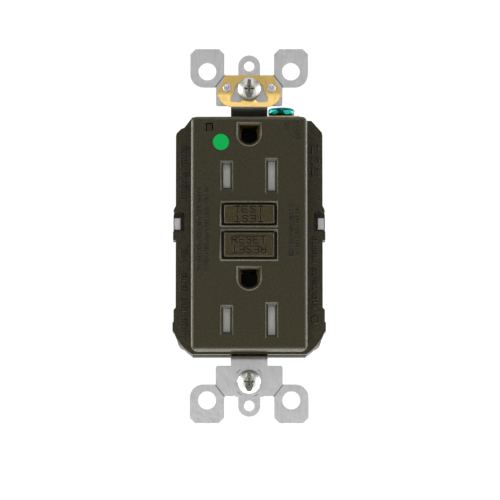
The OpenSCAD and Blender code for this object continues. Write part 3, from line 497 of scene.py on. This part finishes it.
def carved(mesh, cutters, edge=0.0, crease=30):
    """The mesh less the cutters, with edge mm of bevel on its sharp edges."""
    link = bpy.context.scene.collection.objects.link
    body = bpy.data.objects.new("carving", mesh)
    link(body)
    tools = []
    for cutter in cutters:
        tool = bpy.data.objects.new("cutter", cutter)
        link(tool)
        tools.append(tool)
        cut = body.modifiers.new("cut", "BOOLEAN")
        cut.operation, cut.solver, cut.object = "DIFFERENCE", "EXACT", tool
    if edge:
        bevel = body.modifiers.new("bevel", "BEVEL")
        bevel.width, bevel.segments = edge * MM, 2
        bevel.limit_method, bevel.angle_limit = "ANGLE", math.radians(crease)
    bpy.context.view_layer.update()
    solid = bpy.data.meshes.new_from_object(
        body.evaluated_get(bpy.context.evaluated_depsgraph_get()))
    for obj in [body, *tools]:
        bpy.data.objects.remove(obj)
    solid.materials.clear()
    solid.shade_smooth()
    solid.set_sharp_from_angle(angle=math.radians(crease))
    return solid


def shade_recess(mesh, surface, reach):
    """Gives the darker second material, a painted shade, to faces that lie under surface(r) near
    local Z.
    """
    for face in mesh.polygons:
        x, y, z = face.center / MM
        r = math.hypot(x, y)
        if r < reach and 0.4 < z < surface(r) - 0.07:
            face.material_index = 1


def add_piece(name, mesh, slot, body, *stands_for, painted_light=None):
    """A piece of the outlet, with its slot's material or a material of painted shade or highlight,
    that may stand for nodes.
    """
    piece = bpy.data.objects.new(name, mesh)
    bpy.context.scene.collection.objects.link(piece)
    mesh.name = name
    shades = [face.material_index for face in mesh.polygons]
    mesh.materials.clear()
    mesh.materials.append(MATERIALS[painted_light or slot])
    if any(shades):
        # faces marked by shade_recess take the painted recess shade
        mesh.materials.append(MATERIALS["painted_recess_shade"])
        mesh.polygons.foreach_set("material_index", shades)
    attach(piece, body)
    if stands_for:
        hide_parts(*stands_for)
    return piece


# ---- screws and rivets ----------------------------------------------------------

PITCH = 0.794


def phillips(top, depth, reach):
    """Two cutters for a cross recess: tapered wings and the faceted cone between them."""
    wings = slab(cross_outline(0.36, reach), top - depth, top + 0.6)
    for v in wings.vertices:
        if v.co.z < (top - depth / 2) * MM:
            v.co.x *= 0.42
            v.co.y *= 0.42
    cone = turned([(0, top - depth - 0.2), (0.25, top - depth), (reach * 0.72, top + 0.6),
                   (0, top + 0.6)], 4)
    return [wings, cone]


def box_screw_mesh(seat_y):
    """A combination-head 6-32 box screw, head up along local Z, seat at 0."""
    dome = [(0, 2.3), (0.9, 2.22), (1.7, 2.01), (2.4, 1.69), (2.95, 1.31), (3.22, 1.02),
            (3.33, 0.8), (3.36, 0.55), (3.36, 0.2), (3.28, 0.03), (3.2, 0), (0, 0)]
    flare = [(0.5, -3.7), (0.6, -2.7), (0.9, -1.9), (1.2, -1.2), (0.9, 0), (0.62, 1.4),
             (0.5, 2.2), (0.4, 3.7)]
    slot = slab(flare + [(-x, y) for x, y in reversed(flare)], 1.45, 3.0)
    head = carved(turned(dome, 64), [slot, *phillips(2.3, 1.7, 1.75)], 0.05)
    # painted shade on the faces inside the cross recess and slot
    shade_recess(head, lambda r: 2.3 - r * r / 10.4, 2.1)
    root, crest, end = 1.55, 1.75, seat_y - 17
    shank = turned([(0, 0.4), (root, 0.4), (root, seat_y - 4.9), (crest, seat_y - 5.2),
                    (crest, end + 0.8), (1.05, end), (0, end)][::-1], 40,
                   (end + 0.1, seat_y - 5.0, PITCH, 0.42))
    return joined("box_screw", head, shank)


def terminal_screw_mesh():
    """A binding-head terminal screw along local Z, from 12.6 at its tip to 19.4 at its head."""
    head = carved(turned([(0, 19.4), (1.4, 19.37), (2.4, 19.2), (2.95, 18.95), (3.22, 18.6),
                          (3.3, 18.2), (3.3, 17.6), (3.2, 17.36), (3.1, 17.3), (0, 17.3)], 56),
                  [slab(bar_outline(0.45, 4.0), 18.5, 20), *phillips(19.4, 1.3, 1.7)], 0.05)
    shank = turned([(0, 12.6), (1.5, 12.6), (2.07, 13.1), (2.07, 17.5), (0, 17.5)], 40,
                   (12.7, 17.45, PITCH, 0.42))
    return joined("terminal_screw", head, shank)


def ground_screw_mesh():
    """The green slotted hexagonal ground screw, standing up along local Z."""
    blank = turned([(0, 37.06), (2.4, 37.06), (3.2, 36.98), (3.6, 36.76), (3.85, 36.4),
                    (3.95, 35.9), (3.93, 35.4), (3.75, 35.05), (3.35, 34.85), (3.1, 34.75),
                    (3.05, 34.61), (0, 34.61)], 96)
    for v in blank.vertices:
        r = math.hypot(v.co.x, v.co.y)
        turn = (math.degrees(math.atan2(v.co.y, v.co.x)) + 38) % 60 - 30
        flat = 3.7 * MM / math.cos(math.radians(turn))
        if r > flat and v.co.z > 34.95 * MM:
            v.co.x *= flat / r
            v.co.y *= flat / r
    head = carved(blank, [slab(bar_outline(5, 0.5), 36.01, 39)], 0.1)
    shank = turned([(0, 30.2), (1.5, 30.2), (2.07, 30.7), (2.07, 35), (0, 35)], 40,
                   (30.3, 34.9, PITCH, 0.42))
    return joined("ground_screw", head, shank)


def assembly_screw_mesh():
    """A thread-forming screw, head at the rear: local Z is -Y, from -25.1 to -2.4."""
    head = carved(turned([(0, -25.1), (1.3, -25.06), (1.9, -24.85), (2.2, -24.4),
                          (2.25, -24.0), (2.25, -23.6), (2.15, -23.5), (0, -23.5)], 48),
                  [placed(tool, Matrix.Rotation(math.pi, 4, "X"))
                   for tool in phillips(25.1, 1.3, 1.3)], 0.04)
    shank = turned([(0, -24), (1.2, -24), (1.2, -4.2), (0.55, -2.4), (0, -2.4)], 32,
                   (-21, -2.5, 1.1, 0.34))
    return joined("assembly_screw", head, shank)


def star(r, angle, z):
    """Six creases across a staked rivet's head."""
    if z < 0.2 or r < 0.05:
        return 0
    off = abs((angle / math.tau * 6) % 1 - 0.5) * 2
    away = r * (1 - off) * math.tau / 12
    return 0.15 * math.exp(-(away / 0.10) ** 2) * min(1, (1.25 - r) / 0.3)


def rivet_mesh(head_r, head_h, shank_r, shank_l, relief=None):
    """A rivet's head on local Z = 0 and its shank below."""
    dome = [(0, 1), (0.1, 1), (0.2, 0.99), (0.3, 0.98), (0.4, 0.96), (0.5, 0.93), (0.6, 0.9),
            (0.7, 0.85), (0.8, 0.78), (0.88, 0.68), (0.95, 0.5), (0.99, 0.28), (1, 0.1)]
    points = [(head_r * r, head_h * z) for r, z in dome]
    points += [(head_r * 0.98, 0), (shank_r, 0), (shank_r, -shank_l), (0, -shank_l)]
    return turned(points, 72, relief=relief, crease=50)


def build_screws():
    for end, z in (("top", BOX_SCREW_Z), ("bottom", -BOX_SCREW_Z)):
        seat = -2.03 if end == "top" else -1.23
        mesh = placed(box_screw_mesh(seat), at(0, seat, z, UP_MINUS_Y))
        body = f"mounting_screw_{end}"
        add_piece(f"box_screw_{end}", mesh, "zinc_screw", body, body)
    for pole, slot, turn in (("hot", "screw_brass", UP_MINUS_X),
                             ("neutral", "zinc_screw", UP_X)):
        for row, z in (("line", 18), ("load", -18)):
            mesh = placed(terminal_screw_mesh(), at(0, 14, z, turn))
            body = f"{row}_{pole}_screw"
            add_piece(f"{row}_{pole}_binding_screw", mesh, slot, body, body)
    mesh = placed(ground_screw_mesh(), at(9.3, 4.9, 0))
    add_piece("ground_binding_screw", mesh, "green_screw", "ground_screw", "ground_screw")
    screws = [placed(assembly_screw_mesh(), at(16.4 * s, 0, 26.6 * t, UP_MINUS_Y))
              for s in (-1, 1) for t in (-1, 1)]
    add_piece("housing_screws", joined("housing_screws", *screws), "zinc_steel", "root",
              "assembly_screws")


def build_rivets():
    rear = Matrix.Rotation(math.radians(-90), 4, "X")
    parts = []
    for s in (-1, 1):
        parts.append(placed(rivet_mesh(1.2, 0.48, 0.7, 0.7, star),
                            at(6.3 * s, -2.02, 42, UP_MINUS_Y)))
        for z in (28.2, -12.7):
            parts.append(placed(rivet_mesh(1.0, 0.42, 0.6, 1.0),
                                at(4.1 * s, 2.93, z, UP_MINUS_Y)))
            parts.append(placed(rivet_mesh(1.0, 0.33, 0.6, 1.0), at(4.1 * s, 4.62, z, rear)))
    add_piece("staked_rivets", joined("staked_rivets", *parts, crease=50), "rivet_steel",
              "root", "rivets")


# ---- springs and windings -----------------------------------------------------------


def build_springs():
    """Button springs stand on the housing; the others ride on what they push."""
    out = Matrix.Rotation(math.radians(-90), 4, "X")
    test_length, reset_length = 4.47, 5.77
    pressed = (
        ("test", (0.95, 0.2, test_length, 6), at(-5.9, -4.57, 6.9, out), (-5.9, -0.1, 6.9),
         1 - 1.5 / test_length),
        ("reset", (1.8, 0.3, reset_length, 6), at(0, -4.57, -3.3, out), (0, 1.2, -3.3),
         1 - 2.0 / reset_length),
    )
    for button, shape, place, anchor, keep in pressed:
        piece = add_piece(f"{button}_return_spring", placed(spring_mesh(*shape), place),
                          "spring_steel", "root", f"{button}_spring")
        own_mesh(piece)
    for letter, row, z in zip("ab", ("upper", "lower"), SLOT_ROWS_Z):
        mesh = placed(spring_mesh(0.65, 0.14, 2.98, 8), at(9.02, -4.57, z, UP_X))
        add_piece(f"shutter_spring_{letter}", mesh, "spring_steel", f"shutter_{row}",
                  f"shutter_spring_{row}")
    mesh = placed(spring_mesh(2.1, 0.26, 2.25, 3), at(0, 15.6, -28.25))
    add_piece("plunger_return_spring", mesh, "spring_steel", "plunger", "plunger_spring")


def toroid_mesh(turns=64, per_turn=20, wire_r=0.14):
    """A wire wound round a rounded ring core, and the core under it, around local Z."""
    mid, half_w, half_h = 5.6, 1.8 - wire_r, 1.65 - wire_r
    points = []
    for i in range(turns * per_turn):
        a = math.tau * i / (turns * per_turn)
        c, s = math.cos(a * turns), math.sin(a * turns)
        out = mid + math.copysign(abs(c) ** 0.45, c) * half_w
        points.append((out * math.cos(a), out * math.sin(a),
                       math.copysign(abs(s) ** 0.45, s) * half_h))
    wound = tube(points, wire_r, 6, closed=True)
    w, h = half_w - wire_r, half_h - wire_r
    core = turned([(mid - w, -h + 0.3), (mid - w, h - 0.3), (mid - w + 0.3, h),
                   (mid + w - 0.3, h), (mid + w, h - 0.3), (mid + w, -h + 0.3),
                   (mid + w - 0.3, -h), (mid - w + 0.3, -h)], 64, ring=True)
    return wound, core


def build_windings():
    for name, node, y in (("sensing", "sensing_core", 13.85), ("neutral", "neutral_core", 17.65)):
        wound, core = toroid_mesh()
        place = at(0, y, 17, UP_MINUS_Y)
        add_piece(f"{name}_winding", placed(wound, place), "copper_wire", "root", node)
        add_piece(f"{name}_ferrite", placed(core, place), "chip_black", "root")
    wire_r, turns, per_turn = 0.12, 40, 24
    points = [(4.16 * math.cos(math.tau * i / per_turn), 4.16 * math.sin(math.tau * i / per_turn),
               -22.3 + 2 * wire_r * i / per_turn) for i in range(turns * per_turn)]
    wound = tube(points, wire_r, 6)
    filler = turned([(2.78, -22.42), (4.05, -22.42), (4.05, -12.58), (2.78, -12.58)], 48,
                    ring=True)
    add_piece("coil_winding", placed(joined("coil", wound, filler), at(0, 15.6, 0)),
              "copper_wire", "root", "solenoid_coil")


# ---- parts on the circuit board -----------------------------------------------------


def can_mesh(radius, height):
    """A capacitor can with a crimped groove near its base, up along local Z."""
    r = radius
    return carved(turned([(0, height), (r - 0.9, height), (r - 0.6, height - 0.12),
                          (r - 0.25, height), (r, height - 0.3), (r, 1.9), (r - 0.28, 1.6),
                          (r - 0.28, 1.35), (r, 1.05), (r, 0.3), (r - 0.25, 0), (0, 0)], 56),
                  [slab(cross_outline(0.09, r - 1.1), height - 0.12, height + 1)])


def pillow(low, high, edge):
    """A dipped block between two corners in mm, with generous rounded edges."""
    (x0, y0, z0), (x1, y1, z1) = low, high
    middle = at((x0 + x1) / 2, (y0 + y1) / 2, 0)
    raw = placed(slab(bar_outline((x1 - x0) / 2, (y1 - y0) / 2), z0, z1), middle)
    return carved(raw, [], edge, 60)


def build_board_parts():
    lead = 0.25
    cans = [placed(can_mesh(2.6, 8.65), at(-9, 21.15, -17.2, UP_MINUS_Y)),
            placed(can_mesh(2.0, 6.35), at(14.8, 21.15, -6.4, UP_MINUS_Y))]
    add_piece("electrolytic_cans", joined("cans", *cans), "capacitor_sleeve", "root",
              "capacitors")
    add_piece("film_capacitor", pillow((-11.8, 16.6, -27.6), (-6.6, 21.15, -24.6), 0.6),
              "resistor_tan", "root")
    half = [(0, 1.7), (1.6, 1.66), (2.7, 1.5), (3.5, 1.2), (4.0, 0.7), (4.2, 0.2)]
    disc = turned(half + [(r, -z) for r, z in reversed(half)], 56, crease=60)
    legs = [tube([(9.7, 18.9, -17.6 + s * 2.4), (9.7, 21.1, -17.6 + s * 2.4)], 0.33, 12)
            for s in (-1, 1)]
    add_piece("varistor_disc", joined("disc", placed(disc, at(9.7, 16.2, -17.6, UP_X)), *legs,
                                      crease=60), "varistor_blue", "root", "varistor")
    body = pillow((-16.6, 18.4, -8.6), (-11.4, 20.9, 0.6), 0.18)
    dimple = placed(turned([(0, -0.4), (0.5, -0.4), (0.5, 0.4), (0, 0.4)], 24),
                    at(-15.6, 18.2, -0.5, UP_MINUS_Y))
    legs = []
    for x in (-16.9, -11.1):
        out = -0.28 if x < -14 else 0.28
        for i in range(4):
            z = -7.25 + i * 2.2
            legs.append(tube([(x - out, 19.6, z), (x, 19.6, z), (x, 20.1, z), (x, 21.15, z)],
                             0.22, 8))
    add_piece("chip_body", carved(body, [dimple]), "chip_black", "root", "control_chip")
    add_piece("chip_legs", joined("legs", *legs, crease=60), "contact_tin", "root")
    bone = [(0, 2.7), (0.6, 2.68), (0.85, 2.5), (0.9, 2.2), (0.85, 1.9), (0.72, 1.7),
            (0.72, 0)]
    bodies, leads, bands = [], [], []
    for z in (0.4, 3.2, 6, 8.8):
        bodies.append(placed(turned(bone + [(r, -h) for r, h in reversed(bone)][1:], 32,
                                    crease=60), at(14, 20, z, UP_X)))
        leads.append(tube([(11.4, 21.15, z), (11.4, 20.3, z), (11.7, 20, z), (16.3, 20, z),
                           (16.6, 20.3, z), (16.6, 21.15, z)], 0.2, 10))
        for h in (-0.9, -0.3, 0.3, 1.0):
            bands.append(placed(turned([(0.7, h - 0.14), (0.745, h - 0.14), (0.745, h + 0.14),
                                        (0.7, h + 0.14)], 32, ring=True), at(14, 20, z, UP_X)))
    add_piece("resistor_bodies", joined("bodies", *bodies, crease=60), "resistor_tan", "root",
              "resistors")
    add_piece("resistor_leads", joined("leads", *leads, crease=60), "contact_tin", "root")
    add_piece("resistor_bands", joined("bands", *bands), "brown_button", "root")
    lens = turned([(0, 2.75), (0.45, 2.65), (0.78, 2.35), (0.93, 1.95), (0.95, 1.6),
                   (0.95, 0.6), (1.2, 0.58), (1.2, 0.05), (0, 0)], 40)
    legs = [tube([(s * lead * 2.4, 0, 0.1), (s * lead * 2.4, 0, -2.1)], 0.19, 10)
            for s in (-1, 1)]
    add_piece("led_dome", placed(joined("led", lens, *legs, crease=50),
                                 at(-11.25, -0.1, 29.5, UP_MINUS_Y)),
              "led_epoxy", "root", "indicator_led")


# ---- moulded marks --------------------------------------------------------------------

STROKES = {
    "T": [[(0, 1), (1, 1)], [(0.5, 1), (0.5, 0)]],
    "E": [[(1, 1), (0, 1), (0, 0), (1, 0)], [(0, 0.5), (0.8, 0.5)]],
    "S": [[(1, 0.84), (0.8, 1), (0.2, 1), (0, 0.8), (0.16, 0.58), (0.84, 0.44), (1, 0.22),
           (0.8, 0), (0.2, 0), (0, 0.16)]],
    "R": [[(0, 0), (0, 1), (0.74, 1), (1, 0.78), (0.74, 0.52), (0, 0.52)],
          [(0.5, 0.52), (1, 0)]],
}


def ribs(name, lines, surface_y, width=0.15, height=0.035):
    """Low raised ribs along lines of (x, z) in mm, on a face that looks along -Y."""
    parts = []
    for line in lines:
        mesh = tube([(x, 0, z) for x, z in line], width, 8)
        flat = Matrix.Diagonal((1, height / width, 1, 1))
        parts.append(placed(mesh, Matrix.Translation((0, surface_y * MM, 0)) @ flat))
    return joined(name, *parts, crease=80)


def word_lines(word, low, high, cell, gap, turned_over=False):
    """Stroke lines of a word centred on x = -0.08, between two heights."""
    width = len(word) * cell + (len(word) - 1) * gap
    lines = []
    for i, letter in enumerate(word):
        for stroke in STROKES[letter]:
            line = [(i * (cell + gap) + u * cell - width / 2, low + v * (high - low))
                    for u, v in stroke]
            if turned_over:
                line = [(-x, low + high - z) for x, z in line]
            lines.append([(x - 0.08, z) for x, z in line])
    return lines


def tick_column(x, z_from, z_to, size, pitch=1.35):
    """A column of plain boxes and bars where the real cover carries moulded words."""
    lines, z, i = [], z_from, 0
    half, deep = size / 2, pitch * 0.28
    while z - 2 * deep > z_to - 0.1:
        middle = z - deep
        if i % 3 == 0:
            lines.append(frame_line(x, middle, half, deep))
        elif i % 3 == 1:
            lines.append([(x - half, middle), (x + half, middle)])
            lines.append([(x - half, middle - deep), (x - half, middle + deep)])
        else:
            lines += [[(x - half, middle + s * deep), (x + half, middle + s * deep)]
                      for s in (-1, 1)]
        z -= pitch
        i += 1
    return lines


def ring_line(x, z, r, points=20):
    return [(x + r * math.cos(math.tau * k / points), z + r * math.sin(math.tau * k / points))
            for k in range(points + 1)]


def frame_line(x, z, half_x, half_z):
    return [(x - half_x, z - half_z), (x + half_x, z - half_z), (x + half_x, z + half_z),
            (x - half_x, z + half_z), (x - half_x, z - half_z)]


def sunk_button(node):
    """The button's CAD mesh with its front sunk a little."""
    mesh = frame["nodes"][node].data.copy()
    front = min(v.co.y for v in mesh.vertices)
    for v in mesh.vertices:
        if v.co.y < front + 0.02 * MM:
            v.co.y += LETTER_SINK * MM
    return mesh


def bent_clip():
    """The grounding clip's CAD mesh, its lower part bent forward and its screw seat coined flat."""
    bm = bmesh.new()
    bm.from_mesh(frame["nodes"]["ground_clip"].data)
    bmesh.ops.remove_doubles(bm, verts=bm.verts, dist=1e-7)
    for z in (40.6, 40.3, 40.0):
        geometry = [*bm.verts, *bm.edges, *bm.faces]
        bmesh.ops.bisect_plane(bm, geom=geometry, plane_co=(0, 0, z * MM),
                               plane_no=(0, 0, 1), dist=1e-7)
    for v in bm.verts:
        z = v.co.z / MM
        if z < 40.6:
            v.co.y -= math.tan(math.radians(9)) * (40.6 - z - (0.15 if z < 40.1 else 0)) * MM
    seat = slab([(3.45 * math.cos(math.tau * k / 64), 3.45 * math.sin(math.tau * k / 64))
                 for k in range(64)], 2.015, 4)
    return carved(mesh_of("bonding_clip", bm, 30),
                  [placed(seat, at(0, 0, BOX_SCREW_Z, UP_MINUS_Y))])


def build_clip():
    clip = add_piece("bonding_clip", bent_clip(), "clip_brass", "root", "ground_clip")
    soften(clip, 0.08 * MM)


def raised(name, lines, surface_y):
    """Moulded marks: a light rounded rib with a darker line of painted shade along its top."""
    add_piece(name, ribs(name, lines, surface_y, 0.22, 0.13), "brown_cover", "root")
    add_piece(f"{name}_shade", ribs(name, lines, surface_y, 0.14, 0.16), "brown_cover", "root",
              painted_light="painted_letter_shade")


def build_buttons():
    front = BUTTON_Y + LETTER_SINK
    rows = (("test_button", "TEST", (5.82, 7.58), (3.12, 4.88), 1.55, 0.64),
            ("reset_button", "RESET", (-2.95, -0.95), (-5.75, -3.75), 1.48, 0.54))
    for node, word, upper, lower, cell, gap in rows:
        button = add_piece(f"{node}_cap", sunk_button(node), "brown_button", node, node)
        soften(button, 0.06 * MM)
        lines = word_lines(word, *upper, cell, gap) + word_lines(word, *lower, cell, gap, True)
        add_piece(f"{node}_rims", ribs("rims", lines, front, 0.35, 0.085), "brown_button",
                  node)
        # the dark letters are painted shade, as inside engraved strokes
        add_piece(f"{node}_letters", ribs("letters", lines, front, 0.25, 0.115),
                  "brown_button", node, painted_light="painted_letter_shade")


def build_rims():
    """Lips around the button openings, the blade slots and the ground holes, in a lighter brown
    that paints their edge highlights.
    """
    openings = [frame_line(0, 5.38, 8.0, 3.5), frame_line(0, -3.36, 8.05, 4.3)]
    slots = [frame_line(x, z - 0.1, 1.76, h / 2 + 0.95)
             for z in SLOT_ROWS_Z for x, h in ((-SLOT_X, HOT_H), (SLOT_X, NEUTRAL_H))]
    holes, r, top = [], 3.42, 3.2
    for z in GROUND_HOLES_Z:
        arc = [(r * math.cos(math.tau * k / 40), z - r * math.sin(math.tau * k / 40))
               for k in range(21)]
        holes.append([(-r, z + top), (r, z + top), *arc, (-r, z + top)])
    for name, lines, y, width, height in (
            ("opening_rims", openings, FACE_Y, 0.3, 0.2),
            ("slot_rims", slots, FACE_Y + 0.13, 0.2, 0.13),
            ("ground_hole_rims", holes, FACE_Y, 0.2, 0.14)):
        add_piece(name, ribs(name, lines, y, width, height), "brown_cover", "root",
                  painted_light="painted_highlight_rim")


def build_marks():
    """Marks on the flange and the face, score lines on the ears, arcs round a screw; the score
    lines and arcs are dark ribs of painted shade.
    """
    marks = []
    for z_from, z_to in ((25.3, 19.0), (17.7, 10.2), (-4.3, -7.7), (-11.0, -16.6),
                         (-18.2, -21.6), (-24.0, -28.3)):
        marks += tick_column(-18.55, z_from, z_to, 1.45, 1.3)
    for z_from, z_to in ((-0.6, -8.0), (-9.5, -21.0)):
        marks += tick_column(18.7, z_from, z_to, 1.3, 1.3)
    marks += [ring_line(18.7, -24, 1.0)]
    marks += [frame_line(18.7, 24.5, 0.9, 1.2), ring_line(18.7, 21.2, 1.15),
              frame_line(18.7, 18.0, 0.9, 1.2)]
    raised("flange_marks", marks, FLANGE_Y)
    marks = (tick_column(-14.2, 12.8, -11, 1.0, 1.15) + tick_column(-12.0, 12.8, -11, 1.0, 1.15)
             + tick_column(11.9, 8, -7, 1.0, 1.15) + tick_column(13.7, 7, -7, 1.0, 1.15)
             + tick_column(13.4, 32, 25.6, 1.6, 1.5) + tick_column(10.6, 31, 28, 1.0, 1.3))
    # score lines and arcs are drawn as dark ribs of painted shade in the grooves
    scores = [[(s * (8.25 + 1.35 * k), t * (44.2 - 1.73 * k)) for k in (-1, 1)]
              for s in (-1, 1) for t in (-1, 1)]
    add_piece("score_lines", ribs("score_lines", scores, STRAP_Y + 0.03, 0.12, 0.1), "strap_steel",
              "root", painted_light="painted_score_shade")
    r = 4.3
    arcs = [[(r * math.cos(math.radians(a)), r * math.sin(math.radians(a)) - BOX_SCREW_Z)
             for a in range(start, start + 21, 4)] for start in (35, 125, 220, 285)]
    add_piece("stamped_arcs", ribs("stamped_arcs", arcs, STRAP_Y + 0.02, 0.1, 0.05),
              "strap_steel", "root", painted_light="painted_score_shade")
    raised("face_marks", marks, FACE_Y)


# ---- the whole scene ----------------------------------------------------------

make_camera()
make_lights()
make_world()
make_floor()
MATERIALS = make_materials()
dress_nodes(MATERIALS)
build_screws()
build_rivets()
build_springs()
build_windings()
build_board_parts()
build_clip()
build_buttons()
build_rims()
build_marks()
